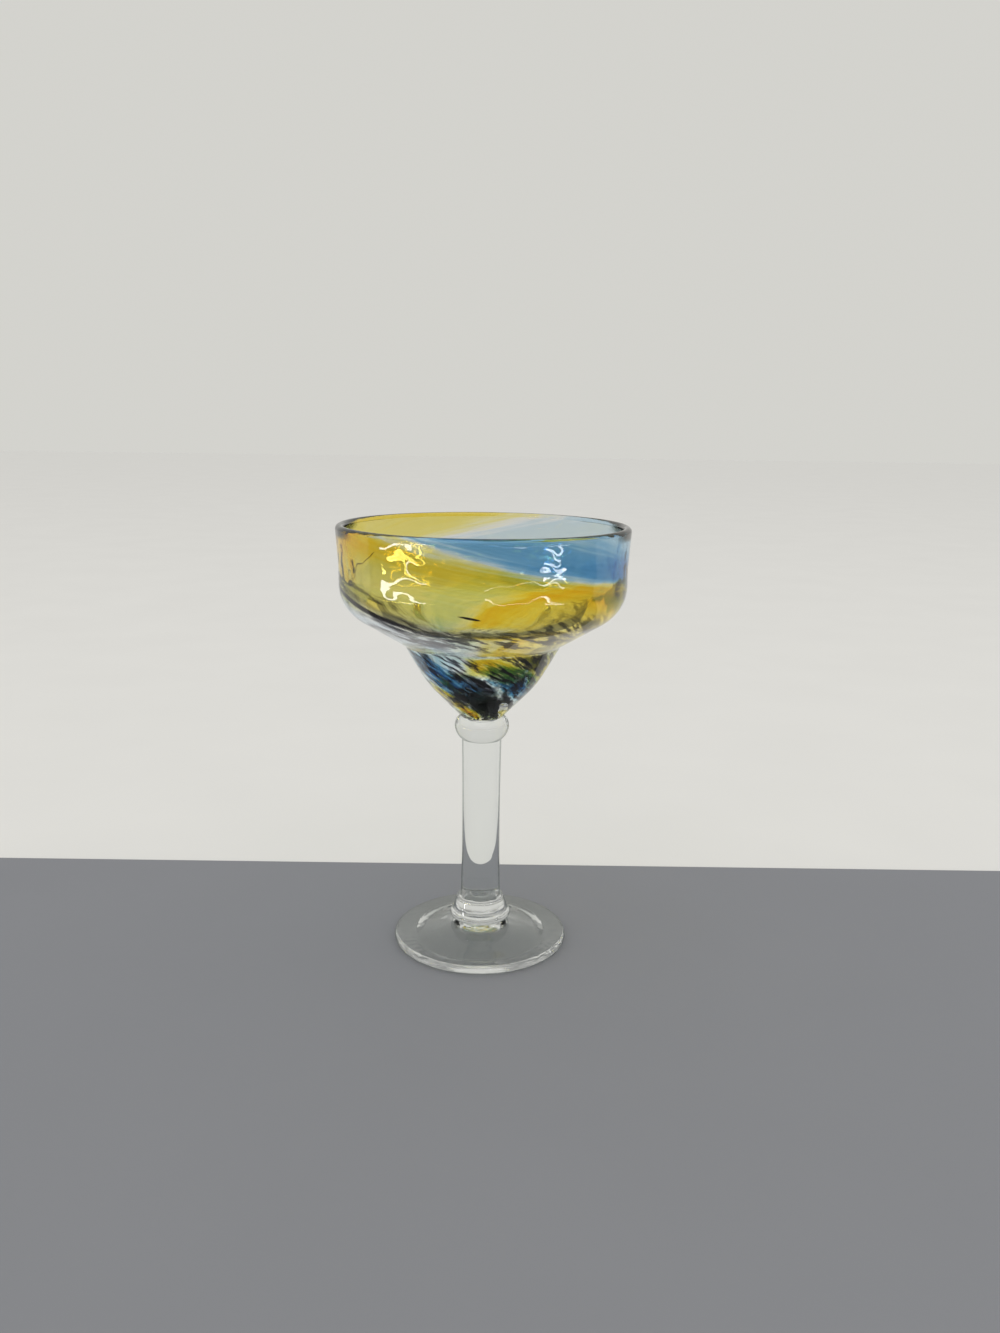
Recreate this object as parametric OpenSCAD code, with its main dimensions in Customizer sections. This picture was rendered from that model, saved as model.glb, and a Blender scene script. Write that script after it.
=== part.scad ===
// Hand-blown margarita glass: a cased bowl with a wound colour layer, on a knop, stem, collar and foot.
// Origin at the bottom centre of the foot, +Z up, millimetres.

/* [Whole glass] */
// Height of the glass
glass_h = 174.8; // [150:0.1:210]

/* [Foot] */
// Diameter of the foot
foot_d = 72.2; // [64:0.2:90]
// Thickness of the foot at its rounded edge
foot_edge_h = 3.6; // [2.5:0.1:4.2]
// Diameter of the foot where its flat brim turns up
foot_brim_d = 46; // [36:0.5:54]
// Height of the foot's top where its flat brim turns up
foot_brim_h = 4.9; // [4.6:0.1:6.5]
// Height of the foot under the collar
foot_mid_h = 9.5; // [8.5:0.1:12]
// Radius that rounds the brim into the middle of the foot
foot_round = 30; // [10:1:40]
// Width of the flat ring that the foot stands on
foot_ring_w = 7; // [3:0.1:8]
// Width of the steep outer part of the hollow under the foot
hollow_step_w = 4.5; // [3:0.1:5]
// Height of the hollow where that steep part ends
hollow_step_h = 1.5; // [0.8:0.1:1.8]
// Depth of the hollow under the foot, in the middle
foot_hollow_h = 4.8; // [3:0.1:5]
// Diameter of the hollow's flat middle
hollow_flat_d = 22; // [16:0.5:24]
// Diameter of the ground mark in that flat middle
ground_mark_d = 13; // [8:0.5:15]
// Depth of the ground mark
ground_mark_h = 0.5; // [0.2:0.1:1]

/* [Collar] */
// Greatest diameter of the collar
collar_d = 25.4; // [24:0.2:30]
// Height of the collar
collar_h = 9.4; // [8:0.1:13]
// Height of the collar's rounded lower edge
collar_edge_h = 3.6; // [2:0.1:4.5]
// Diameter of the collar's shoulder
collar_top_d = 19.8; // [19:0.2:21]
// Radius of the collar's rounded shoulder
collar_top_round = 1.2; // [0.5:0.1:1.2]

/* [Stem] */
// Diameter of the stem at the collar
stem_low_d = 16.6; // [14:0.1:16.6]
// Diameter of the stem at its slimmest, half way up
stem_mid_d = 15.5; // [10:0.1:15.9]
// Diameter of the stem at the knop
stem_top_d = 16.2; // [14:0.1:17]

/* [Knop] */
// Greatest diameter of the knop
knop_d = 22.2; // [19:0.1:28]
// Height of the knop from the stem to the edge of the cone
knop_h = 9.8; // [8:0.1:13]
// Height of the knop's widest place above the stem
knop_belly_h = 5.8; // [4:0.1:6]
// Depth of the cup in which the cone sits
seat_dip = 1; // [0.4:0.1:2]

/* [Bowl] */
// Diameter of the bowl at the rim
rim_d = 116; // [114:0.5:128]
// Diameter of the bowl's upright wall
wall_d = 114; // [108:0.2:115.6]
// Height of the rim above the shoulder's corner
wall_h = 32.2; // [26:0.1:45]
// Height of the flared part of the wall
flare_h = 14; // [8:0.5:16]
// Radius of the rounded shoulder
shoulder_round = 16; // [8:0.5:18]
// Diameter of the waist, where the cone starts
waist_d = 63.6; // [56:0.2:70]
// Height of the shoulder's corner above the waist
under_h = 15.2; // [10:0.1:18]
// Radius of the hollow corner at the waist
waist_round = 3; // [1:0.5:6]
// Diameter of the cone where its two slopes meet
cone_mid_d = 45; // [40:0.2:50]
// Height of the waist above the place where the slopes meet
cone_top_h = 16.1; // [14:0.1:24]
// Height of the lower slope of the cone
cone_low_h = 14.2; // [12:0.1:20]
// Radius that rounds one slope of the cone into the other
cone_round = 40; // [12:1:60]
// Diameter of the end of the cone, in the knop's cup
cone_end_d = 17.4; // [14:0.1:18.6]

/* [Glass layers] */
// Thickness of the clear casing on the wall
casing_wall_t = 1.3; // [0.8:0.1:2]
// Thickness of the clear casing under the bowl
casing_under_t = 2.9; // [2:0.1:5]
// Thickness of the clear casing on the cone
casing_cone_t = 2.6; // [1.5:0.1:3.5]
// Thickness of the clear casing above the edge of the knop's cup
casing_end_t = 2; // [1:0.1:4]
// Thickness of the colour layer on the wall and under the bowl
colour_wall_t = 0.7; // [0.4:0.1:1.2]
// Thickness of the colour layer in the cone
colour_cone_t = 2; // [1:0.1:2.5]
// Thickness of the colour layer at the bottom of the cone
colour_end_t = 5; // [3:0.1:7]
// Thickness of the clear lining on the wall and under the bowl
lining_wall_t = 1.5; // [0.8:0.1:2]
// Thickness of the clear lining in the cone
lining_cone_t = 1.8; // [1:0.1:2.5]
// Radius of the cavity's rounded shoulder
cavity_shoulder_round = 22; // [12:0.5:24]
// Radius of the round ridge in the cavity above the cone
cavity_waist_round = 8; // [5:0.5:12]
// Radius of the round bottom of the cavity
cavity_end_round = 6; // [3:0.5:8]

/* [Swirl] */
// Part of the turn that the amber glass takes, in degrees
amber_sweep = 150; // [90:5:240]
// Direction of the amber glass's first edge at the rim, in degrees from +X
amber_start = 70; // [0:5:360]
// Turn of the colours from the rim down to the end of the cone, in degrees
swirl_turn = 320; // [120:10:480]

/* [Hidden] */
$fn = 72;

// Greatest turn between two points of a round, in degrees
arc_step = 6;
// Least number of steps in a shallow arc
shallow_steps = 6;
// Greatest turn between two slices of the wound colours, in degrees
swirl_step = 8;
// Least radius of a round that is worked out from thicknesses
least_round = 0.5;
// Places on their rounds where the foot's top leaves its edge and the collar's side its edge and shoulder, in degrees
foot_edge_end = 84;
collar_edge_end = 70;
collar_shoulder_start = 10;
// Radii that round the two corners of the hollow under the foot
hollow_rounds = [12, 20];
// Greatest angle between two corners of the wedge that splits the colours, in degrees
wedge_step = 60;

// Heights of the joints above the table. The stem fills what the foot and the bowl leave of the whole height
collar_z = foot_mid_h;
stem_z = collar_z + collar_h;
rim_z = glass_h;
corner_z = rim_z - wall_h;
waist_z = corner_z - under_h;
cone_mid_z = waist_z - cone_top_h;
cone_end_z = cone_mid_z - cone_low_h;
knop_z = cone_end_z - knop_h;

// The layers of the wall end under a round lip as thick as they are together
wall_t = casing_wall_t + colour_wall_t + lining_wall_t;
flare_lean = atan((rim_d - wall_d) / 2 / flare_h);
lip_r = wall_t / 2 / cos(flare_lean);
lip_z = rim_z - lip_r;

// Outside of the bowl as straight runs, from the lip down to the knop's cup
bowl_corners = [
    [rim_d / 2, lip_z],
    [wall_d / 2, lip_z - flare_h],
    [wall_d / 2, corner_z],
    [waist_d / 2, waist_z],
    [cone_mid_d / 2, cone_mid_z],
    [cone_end_d / 2, cone_end_z]
];
// Radius that rounds the flare into the upright wall
flare_round = 50;

// Depth of each skin below each of those runs
casing_depths = [casing_wall_t, casing_wall_t, casing_under_t, casing_cone_t, casing_cone_t];
colour_depths = casing_depths + [for (i = [0:4]) i < 3 ? colour_wall_t : colour_cone_t];
cavity_depths = colour_depths + [for (i = [0:4]) i < 3 ? lining_wall_t : lining_cone_t];

// Points of an arc round a centre, from one angle to another, in at least so many steps
function arc(centre, r, from, to, least_steps = 3) =
    let (n = max(least_steps, ceil(abs(to - from) / arc_step)))
    [for (i = [0:n]) centre + r * [cos(from + (to - from) * i / n), sin(from + (to - from) * i / n)]];

// Unit vector from one point to another
function way(p, q) = (q - p) / norm(q - p);

// Half of the angle between the two runs that meet in corner q
function half_angle(p, q, s) = acos(max(-1, min(1, way(q, p) * way(q, s)))) / 2;

// Points of the round that takes the place of corner q
function round_corner(p, q, s, r) =
    let (
        u = way(q, p),
        v = way(q, s),
        half = half_angle(p, q, s),
        centre = q + (u + v) / norm(u + v) * r / sin(half),
        a = q + u * r / tan(half) - centre,
        from = atan2(a[1], a[0]),
        side = a[0] * (v - u)[1] - a[1] * (v - u)[0] > 0 ? 1 : -1
    )
    arc(centre, r, from, from + side * (180 - 2 * half));

// A line of points with its inner corners rounded, each round kept within its own two runs
function rounded(points, radii) =
    let (
        last = len(points) - 1,
        runs = [for (i = [0:last])
            i == 0 || i == last ? 0 : radii[i - 1] / tan(half_angle(points[i - 1], points[i], points[i + 1]))],
        fit = [for (i = [0:last - 1])
            min(1, norm(points[i + 1] - points[i]) / max(least_round, runs[i] + runs[i + 1]))]
    )
    [
        points[0],
        for (i = [1:last - 1])
            each round_corner(points[i - 1], points[i], points[i + 1], radii[i - 1] * min(fit[i - 1], fit[i])),
        points[last]
    ];

// Points of an arc that starts at one point and stands upright where it ends
function upright_arc(from, to) =
    abs(to[0] - from[0]) < 0.001 ? [from, to] :
    let (
        r = ((to - from) * (to - from)) / 2 / (to[0] - from[0]),
        turn = asin((from[1] - to[1]) / r)
    )
    arc([to[0] - r, to[1]], r, turn, 0, shallow_steps);

// Points of a shallow cap of a ball, from its edge to the axis, deep below the edge
function cap(edge, deep) =
    let (
        r = (edge[0] * edge[0] + deep * deep) / 2 / deep,
        turn = asin(edge[0] / r)
    )
    arc([0, edge[1] - deep + r], r, turn - 90, -90, shallow_steps);

// The same points from last to first
function backwards(points) = [for (i = [len(points) - 1:-1:0]) points[i]];

// Sum of a run's depth inwards from the bowl's outside, as a shift of that run
function run_shift(i, depth) =
    let (u = way(bowl_corners[i], bowl_corners[i + 1]))
    depth * [u[1], -u[0]];

// Point where the line through p along u meets the line through q along v
function crossing(p, u, q, v) =
    let (det = u[0] * v[1] - u[1] * v[0])
    abs(det) < 0.001 ? q : p + u * ((q - p)[0] * v[1] - (q - p)[1] * v[0]) / det;

// Straight runs of a skin inside the bowl's wall, from the lip's underside to the axis at the height end_z
function skin_corners(depths, end_z) =
    let (
        starts = [for (i = [0:4]) bowl_corners[i] + run_shift(i, depths[i])],
        ways = [for (i = [0:4]) way(bowl_corners[i], bowl_corners[i + 1])]
    )
    [
        crossing(starts[0], ways[0], [0, lip_z], [1, 0]),
        for (i = [0:3]) crossing(starts[i], ways[i], starts[i + 1], ways[i + 1]),
        crossing(starts[4], ways[4], [0, end_z], [1, 0]),
        [0, end_z]
    ];

// Outlines of the skins, from the lip's underside down: the outside, both faces of the colour, the cavity
outside = rounded(bowl_corners, [flare_round, shoulder_round, waist_round, cone_round]);
casing_skin = rounded(
    skin_corners(casing_depths, cone_end_z + casing_end_t),
    [
        flare_round,
        cavity_shoulder_round + lining_wall_t + colour_wall_t,
        max(least_round, cavity_waist_round - lining_cone_t - colour_cone_t),
        max(least_round, cone_round - casing_cone_t),
        cavity_end_round
    ]
);
colour_skin = rounded(
    skin_corners(colour_depths, cone_end_z + casing_end_t + colour_end_t),
    [
        flare_round,
        cavity_shoulder_round + lining_wall_t,
        max(least_round, cavity_waist_round - lining_cone_t),
        max(least_round, cone_round - casing_cone_t - colour_cone_t),
        cavity_end_round
    ]
);
cavity_skin = rounded(
    skin_corners(cavity_depths, cone_end_z + casing_end_t + colour_end_t + lining_cone_t),
    [
        flare_round,
        cavity_shoulder_round,
        cavity_waist_round,
        max(least_round, cone_round - cavity_depths[4]),
        cavity_end_round
    ]
);
lip = arc([rim_d / 2 - lip_r, lip_z], lip_r, 180, 0);
cone_seat = cap([cone_end_d / 2, cone_end_z], seat_dip);

// Solid of the whole colour layer, before it is split into amber and blue
module colour_layer() {
    rotate_extrude()
        polygon(concat(casing_skin, backwards(colour_skin)));
}

// Wound wedge that takes the amber part of the turn at every height
module amber_wedge() {
    wedge_h = rim_z - cone_end_z;
    corners = ceil(amber_sweep / wedge_step);
    translate([0, 0, cone_end_z])
        rotate([0, 0, amber_start + swirl_turn])
            linear_extrude(height = wedge_h, twist = swirl_turn, slices = ceil(swirl_turn / swirl_step))
                polygon([
                    [0, 0],
                    for (i = [0:corners])
                        rim_d * [cos(amber_sweep * i / corners), sin(amber_sweep * i / corners)]
                ]);
}

module foot() {
    edge_r = foot_edge_h / 2;
    edge = arc([foot_d / 2 - edge_r, edge_r], edge_r, -90, foot_edge_end);
    collar_seat_r = (collar_d - collar_edge_h) / 2;
    top = rounded(
        [edge[len(edge) - 1], [foot_brim_d / 2, foot_brim_h], [collar_seat_r, foot_mid_h]],
        [foot_round]
    );
    ring_r = foot_d / 2 - edge_r - foot_ring_w;
    hollow = rounded(
        [
            [ring_r, 0],
            [ring_r - hollow_step_w, hollow_step_h],
            [hollow_flat_d / 2, foot_hollow_h],
            [ground_mark_d / 2, foot_hollow_h]
        ],
        hollow_rounds
    );
    mark = [for (p = cap([ground_mark_d / 2, 0], ground_mark_h)) if (p[0] < ground_mark_d / 2)
        [p[0], foot_hollow_h - p[1]]];
    color([0.9, 0.94, 0.95, 0.5])
        rotate_extrude()
            polygon(concat(edge, top, [[0, foot_mid_h]], backwards(mark), backwards(hollow)));
}

module foot_collar() {
    edge_r = collar_edge_h / 2;
    edge = arc([collar_d / 2 - edge_r, collar_z + edge_r], edge_r, -90, collar_edge_end);
    shoulder_r = collar_top_d / 2 - collar_top_round;
    shoulder = arc([shoulder_r, stem_z - collar_top_round], collar_top_round, collar_shoulder_start, 90);
    color([0.9, 0.94, 0.95, 0.5])
        rotate_extrude()
            polygon(concat([[0, collar_z]], edge, shoulder, [[0, stem_z]]));
}

module stem() {
    slimmest = [stem_mid_d / 2, (stem_z + knop_z) / 2];
    color([0.9, 0.94, 0.95, 0.5])
        rotate_extrude()
            polygon(concat(
                [[0, stem_z]],
                upright_arc([stem_low_d / 2, stem_z], slimmest),
                backwards(upright_arc([stem_top_d / 2, knop_z], slimmest)),
                [[0, knop_z]]
            ));
}

module knop() {
    belly = [knop_d / 2, knop_z + knop_belly_h];
    color([0.9, 0.94, 0.95, 0.5])
        rotate_extrude()
            polygon(concat(
                [[0, knop_z]],
                upright_arc([stem_top_d / 2, knop_z], belly),
                backwards(upright_arc([cone_end_d / 2, cone_end_z], belly)),
                cone_seat
            ));
}

module bowl_casing() {
    color([0.9, 0.95, 0.97, 0.4])
        rotate_extrude()
            polygon(concat(lip, outside, cone_seat, backwards(casing_skin)));
}

module amber_swirl() {
    color([0.85, 0.6, 0.1])
        intersection() {
            colour_layer();
            amber_wedge();
        }
}

module blue_swirl() {
    color([0.15, 0.35, 0.65])
        difference() {
            colour_layer();
            amber_wedge();
        }
}

module bowl_lining() {
    color([0.92, 0.96, 0.97, 0.4])
        rotate_extrude()
            polygon(concat(colour_skin, backwards(cavity_skin)));
}

foot();
foot_collar();
stem();
knop();
bowl_casing();
amber_swirl();
blue_swirl();
bowl_lining();
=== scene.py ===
"""Hand-blown margarita glass, turned from outlines: clear glass cased over wound amber and blue."""
import math

import bpy
from mathutils import Matrix, Vector


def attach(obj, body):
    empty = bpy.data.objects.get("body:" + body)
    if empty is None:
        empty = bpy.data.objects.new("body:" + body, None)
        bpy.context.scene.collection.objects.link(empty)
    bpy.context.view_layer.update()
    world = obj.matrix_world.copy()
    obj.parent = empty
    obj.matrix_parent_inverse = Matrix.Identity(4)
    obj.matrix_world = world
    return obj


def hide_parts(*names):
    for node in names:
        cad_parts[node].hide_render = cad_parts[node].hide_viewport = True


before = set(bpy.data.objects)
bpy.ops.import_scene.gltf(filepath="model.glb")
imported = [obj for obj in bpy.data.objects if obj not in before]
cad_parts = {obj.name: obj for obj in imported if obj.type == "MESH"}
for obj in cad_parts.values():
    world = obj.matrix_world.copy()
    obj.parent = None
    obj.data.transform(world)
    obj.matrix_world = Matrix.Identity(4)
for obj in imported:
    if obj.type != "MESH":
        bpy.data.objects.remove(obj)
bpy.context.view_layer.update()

MM = 0.001

# Sides of each turned piece, and the greatest distance between two rings, in millimetres
SIDES = 160
RING_STEP = 1.0
FINE_RING_STEP = 0.6
# Greatest step of an arc and least edge that stays sharp, in degrees
ARC_STEP = 3.0
FEWEST_ARC_STEPS = 4
SHARP_EDGE = 40
# Millimetres under which two spots are one, and the least that two rounds count for on a run
SAME_SPOT = 0.001
LEAST_RUN = 0.5
# Sine of the angle under which two lines count as level with each other
LEVEL_LINES = 0.001
# Millimetres within which a face lies on a joint's line, and radians within which it is a shell's end
JOINT_REACH = 0.08
END_REACH = 0.005
# Clearance that keeps the coloured skins off the clear ones, in millimetres
COLOUR_GAP = 0.1

# The part's own sizes, in millimetres, and the ends of its arcs, in degrees
FOOT_R = 36.1
FOOT_EDGE_H = 3.6
FOOT_EDGE_END = 84
FOOT_BRIM = (23.0, 4.9)
FOOT_MID_H = 9.5
FOOT_ROUND = 30.0
FOOT_RING_R = 27.3
HOLLOW_STEP = (22.8, 1.5)
HOLLOW_FLAT = (11.0, 4.8)
HOLLOW_ROUNDS = [12.0, 20.0]
GROUND_MARK_R = 6.5
GROUND_MARK_H = 0.5
COLLAR_R = 12.7
COLLAR_EDGE_H = 3.6
COLLAR_EDGE_END = 70
COLLAR_TOP_R = 9.9
COLLAR_TOP_ROUND = 1.2
COLLAR_SHOULDER_START = 10
STEM_Z = 18.9
STEM_LOW_R = 8.3
STEM_MID_R = 7.75
STEM_TOP_R = 8.1
KNOP_Z = 87.3
KNOP_BELLY = (11.1, 93.1)
SEAT_DIP = 1.0
CONE_END_R = 8.7
CONE_END_Z = 97.1
CONE_BEND = (22.5, 111.3)
WAIST = (31.8, 127.4)
SHOULDER_Z = 142.6
WALL_R = 57.0
WALL_THICK = 3.5
RIM_R = 58.0
RIM_Z = 174.8
FLARE_H = 14.0
FLARE_LEAN = math.atan((RIM_R - WALL_R) / FLARE_H)
LIP_R = WALL_THICK / 2 / math.cos(FLARE_LEAN)
LIP_Z = RIM_Z - LIP_R
BOWL_CORNERS = [
    (RIM_R, LIP_Z),
    (WALL_R, LIP_Z - FLARE_H),
    (WALL_R, SHOULDER_Z),
    WAIST,
    CONE_BEND,
    (CONE_END_R, CONE_END_Z),
]
BOWL_ROUNDS = [50.0, 16.0, 3.0, 40.0]
# Depth of each skin under the five runs of the bowl's outline, the rounds between them, and where it ends
CASING_DEPTHS = [1.3, 1.3, 2.9, 2.6, 2.6]
COLOUR_DEPTHS = [2.0, 2.0, 3.6, 4.6, 4.6]
CAVITY_DEPTHS = [WALL_THICK, WALL_THICK, 5.1, 6.4, 6.4]
CASING_ROUNDS = [50.0, 24.2, 4.2, 37.4, 6.0]
COLOUR_ROUNDS = [50.0, 23.5, 6.2, 35.4, 6.0]
CAVITY_ROUNDS = [50.0, 22.0, 8.0, 33.6, 6.0]
CASING_FLOOR_Z = 99.1
COLOUR_FLOOR_Z = 104.1
CAVITY_FLOOR_Z = 105.9
# Where the amber starts at the rim, how much of the turn it takes, and how far both colours are wound
AMBER_START = 70.0
AMBER_SWEEP = 150.0
SWIRL_TURN = 320.0

# What each glass lets through, what the casing lets through of a lamp's light, and how glass bends light
CLEAR = (0.955, 0.975, 0.97, 1)
AMBER = (0.985, 0.80, 0.13, 1)
BLUE = (0.45, 0.70, 0.88, 1)
SMOKE = (0.34, 0.33, 0.36, 1)
CASING_SHADOW = (0.95, 0.96, 0.96, 1)
GLASS_IOR = 1.5

# Waves of hand work: their size and depth in millimetres, and their own place in the noise
FOOT_WAVES = (5.0, 0.12, 1.0)
COLLAR_WAVES = (4.0, 0.06, 2.0)
STEM_WAVES = (9.0, 0.08, 3.0)
KNOP_WAVES = (5.0, 0.08, 4.0)
LINING_WAVES = (9.0, 0.6, 5.0)
CASING_WAVES = (12.0, 0.4, 6.0)
# Heights under which the waves are calm, and over which millimetres and from what share they come back
LINING_CALM_Z = 150
CASING_CALM_Z = 144
CALM_BAND = (-5, 10)
CALM_SHARE = 0.2
# A height that every piece is above
UNDER_ALL = -1000

# Painted shade for the dark lines along the glass's edges: what clear glass is darkened to where it is
# looked at edge-on, and between which facings that sets in
PAINTED_EDGE_SHADE = (0.08, 0.1, 0.09, 1)
PAINTED_SHADE_FACING = (0.55, 0.9)
# Height of the lip's painted dark line, how soon it is full, and how strong it is
LIP_PAINTED_SHADE_Z = 170
PAINTED_SHADE_BAND = (0, 3)
LIP_PAINTED_SHADE = 5.0
# Cosine below which the colour gets no deeper edge-on
LEAST_SQUARE_ON = 0.6

# Share of the colour that the casing's tint carries, on the wall and from the bend down
CASING_SHARE = 0.85
CASING_LOW_SHARE = 0.95

# How far the colours have turned in all, in degrees, and as shares of the way down and of the full turn
FULL_TURN = 292.0
TWIST_CURVE = [
    (0.0, 0.0), (0.126, 0.144), (0.19, 0.239), (0.319, 0.439), (0.384, 0.514), (0.448, 0.589),
    (0.525, 0.65), (0.602, 0.70), (0.785, 0.836), (1.0, 1.0),
]
# How far hand work lets the colours stray from that, in degrees, in wide sways and at frayed borders
SWAY = 30
FRAY = 50
# Over which radians, from the middle of their border, the amber comes in and the blue does
AMBER_BORDER = (0.3, -0.35)
BLUE_BORDER = (0.15, 0.55)

# Streaks: their thickness in millimetres, how many times as long they are, and their own place in the noise
STREAKS = (4.6, 6.0, 0.1)
THREADS = (1.7, 14.0, 0.2)
DARK_STREAKS = (3.4, 9.0, 0.3)

# Load of colour on the wall all round, as shares of the turn and of the full load
FULL_LOAD = 2.0
ROUND_LOADS = [
    (0.0, 0.2), (0.1, 0.2), (0.2, 0.28), (0.3, 0.36), (0.42, 0.38), (0.5, 0.5), (0.56, 0.8),
    (0.62, 0.98), (0.7, 0.95), (0.77, 1.0), (0.83, 0.6), (0.9, 0.25), (1.0, 0.2),
]
# How far the streaks raise the load of the wall, and the least that they leave of it
WALL_STREAKS = (0.6, 0.7)

# The top of the cone on its near and its far side, and the band under it over which the cone sets in
NEAR_CONE_TOP_Z = 130
FAR_CONE_TOP_Z = 112
UNDER_CONE_TOP = (0, -5)
# Bands in millimetres over which one zone of the bowl goes over into the next, by height
BEND_Z = (149, 140)
FAR_WALL_Z = (166, 157)
CALM_CONE_Z = (119, 127)
SMOKE_Z = (142, 137)
BEND_SMOKE_Z = (130, 135)
DAUB_SMOKE_Z = (130, 138)
# The same from near to far, and from left to right
CONE_TOP_Y = (-5, 10)
FAR_WALL_Y = (-10, 20)
FAR_BEND_Y = (0, 20)
FAR_CONE_Y = (8, -6)
BEND_SMOKE_Y = (-5, -30)
GOLDEN_X = (-30, 10)
GOLDEN_Y = (-15, 5)

# Depth low on the far wall and, for the amber, at the far right of the bend, as shares of that elsewhere
FAR_WALL_SHARE = 0.35
GOLDEN_SHARE = 1.9
# How deep the streaks are on the cone's far side, low and high on it, as shares of those on the near side
FAR_CONE_SHARES = (0.3, 0.02)
# Load of smoke on the wall and low on its far side, and how much of it is left at the end of the bend
WALL_SMOKE = 0.08
FAR_WALL_SMOKE = 0.14
LEAST_BEND_SMOKE = 0.15

# What streaks do: from one value of the noise to the next, the load goes from one share to the next
BEND_STREAKS = (0.35, 0.65, 0.36, 0.585)
BEND_SMOKE_STREAKS = (0.44, 0.6, 0.0, 2.3)
CONE_GAPS = (0.38, 0.5, 0.2, 1.0)
CONE_STREAKS = (0.38, 0.6, 0.65, 1.25)
CONE_DARK_STREAKS = (0.51, 0.56, 0.0, 2.6)
DAUB_DARK_STREAKS = (0.4, 0.55, 0.6, 1.2)
# The same for a clear pocket, and for the edge of a daub, with how much the streaks eat into it
POCKET_EDGE = (0.2, 0.7, 1.0, 0.05)
DAUB_EDGE = (1.3, 0.3)
DAUB_RAG = 3.0

# Least load of amber and blue in the cone
CONE_AMBER = 0.03
CONE_BLUE = 0.3
# Daubs in the cone, then a dark thread and a fleck in the wall: direction and height of the middle, how
# wide and how tall, in degrees and millimetres, then the loads of amber, blue and smoke, and last how far
# it is a clear pocket
DAUBS = [
    (238, 116, 24, 10, 0.0, 4.2, 0.4, 0.0),
    (283, 122, 19, 7, 1.3, 0.0, 0.4, 0.0),
    (306, 115, 24, 9, 0.1, 4.0, 0.6, 0.0),
    (316, 123, 9, 5, 0.0, 0.4, 1.6, 0.0),
    (336, 118, 16, 12, 1.3, 0.2, 0.3, 0.0),
    (232, 106, 16, 7, 2.2, 0.0, 0.0, 0.0),
    (252, 101, 14, 3, 3.8, 0.0, 0.4, 0.0),
    (282, 104, 40, 8, 0.4, 0.8, 4.5, 0.0),
    (268, 115, 12, 6, 0.0, 0.8, 2.4, 0.0),
    (312, 101.5, 11, 4, 0.0, 0.0, 0.0, 1.5),
    (206, 149, 5, 10, 0.0, 0.0, 3.5, 0.0),
    (266, 146.8, 2.2, 0.8, 0.0, 0.0, 3.0, 0.0),
]

# Stage, in metres: a pale floor, and a grey board under the glass that ends a little behind it
FLOOR = (0.82, 0.81, 0.76)
FLOOR_SIZE = 12.0
FLOOR_Z = -0.002
BOARD = (0.27, 0.275, 0.285)
BOARD_WIDTH = 3.0
BOARD_BACK = 0.077
BOARD_FRONT = -1.5
BOARD_Z = -0.0001
# The mottle of both: from one value of the noise to the next, brightness goes from one share to the next
MOTTLE = (0.0, 1.0, 0.985, 1.015)
# What the camera and the glass see behind, and the light that falls on everything else
BACKDROP = (0.655, 0.65, 0.615, 1)
SOFT_LIGHT = (0.78, 0.78, 0.79, 1)
# How bright the glass sees the backdrop, from the camera's side to the far side
BACKDROP_SEEN = (-0.5, 0.3, 0.45, 1.0)

# Lamps, in metres and watts
SOFTBOX_AT = (0.2, -0.6, 2.4)
SOFTBOX_AIM = (0, 0.3, 0)
SOFTBOX_SIZE = 1.6
SOFTBOX_POWER = 8
# Strips of light that show in the glass, on a circle round it, aimed at the middle of its bowl
STRIP_CIRCLE_R = 0.6
BOWL_MIDDLE = Vector((0, 0, 0.15))
WHITE = (1.0, 1.0, 1.0)
YELLOW = (1.0, 0.85, 0.2)
# Direction and height of both ends in degrees and millimetres, thickness in millimetres, glow and hue
STRIPS = [
    (190, 63, 230, 50, 9, 13, WHITE),
    (236, 36, 191, 31, 3, 16, YELLOW),
    (191, 31, 222, 19, 3, 16, YELLOW),
    (222, 19, 205, 9, 4, 13, WHITE),
    (272, 62, 334, 58, 3, 8, WHITE),
    (316, 46, 335, 40, 4, 12, WHITE),
    (335, 40, 317, 30, 4, 12, WHITE),
    (317, 30, 330, 24, 4, 12, WHITE),
]

# Camera, in metres and degrees; its focal length is in pixels of an image this wide
IMAGE_WIDTH = 1000
FOCAL_PIXELS = 1111.6
SENSOR_WIDTH = 36
CAMERA_AT = (0.0071, -0.4387, 0.2154)
CAMERA_PITCH = 12.59
CAMERA_ROLL = 0.76
NEAREST_SEEN = 0.01


# Outlines, as (radius, height) points

def arc(centre, radius, start, end):
    """Points of an arc round a centre, between two angles in degrees."""
    steps = max(FEWEST_ARC_STEPS, math.ceil(abs(end - start) / ARC_STEP))
    points = []
    for i in range(steps + 1):
        angle = math.radians(start + (end - start) * i / steps)
        points.append((centre[0] + radius * math.cos(angle), centre[1] + radius * math.sin(angle)))
    return points


def way(start, end):
    """Unit vector from one point to another."""
    return (Vector(end) - Vector(start)).normalized()


def half_angle(before, corner, after):
    """Half of the angle between the two runs that meet in a corner."""
    return way(corner, before).angle(way(corner, after)) / 2


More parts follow.
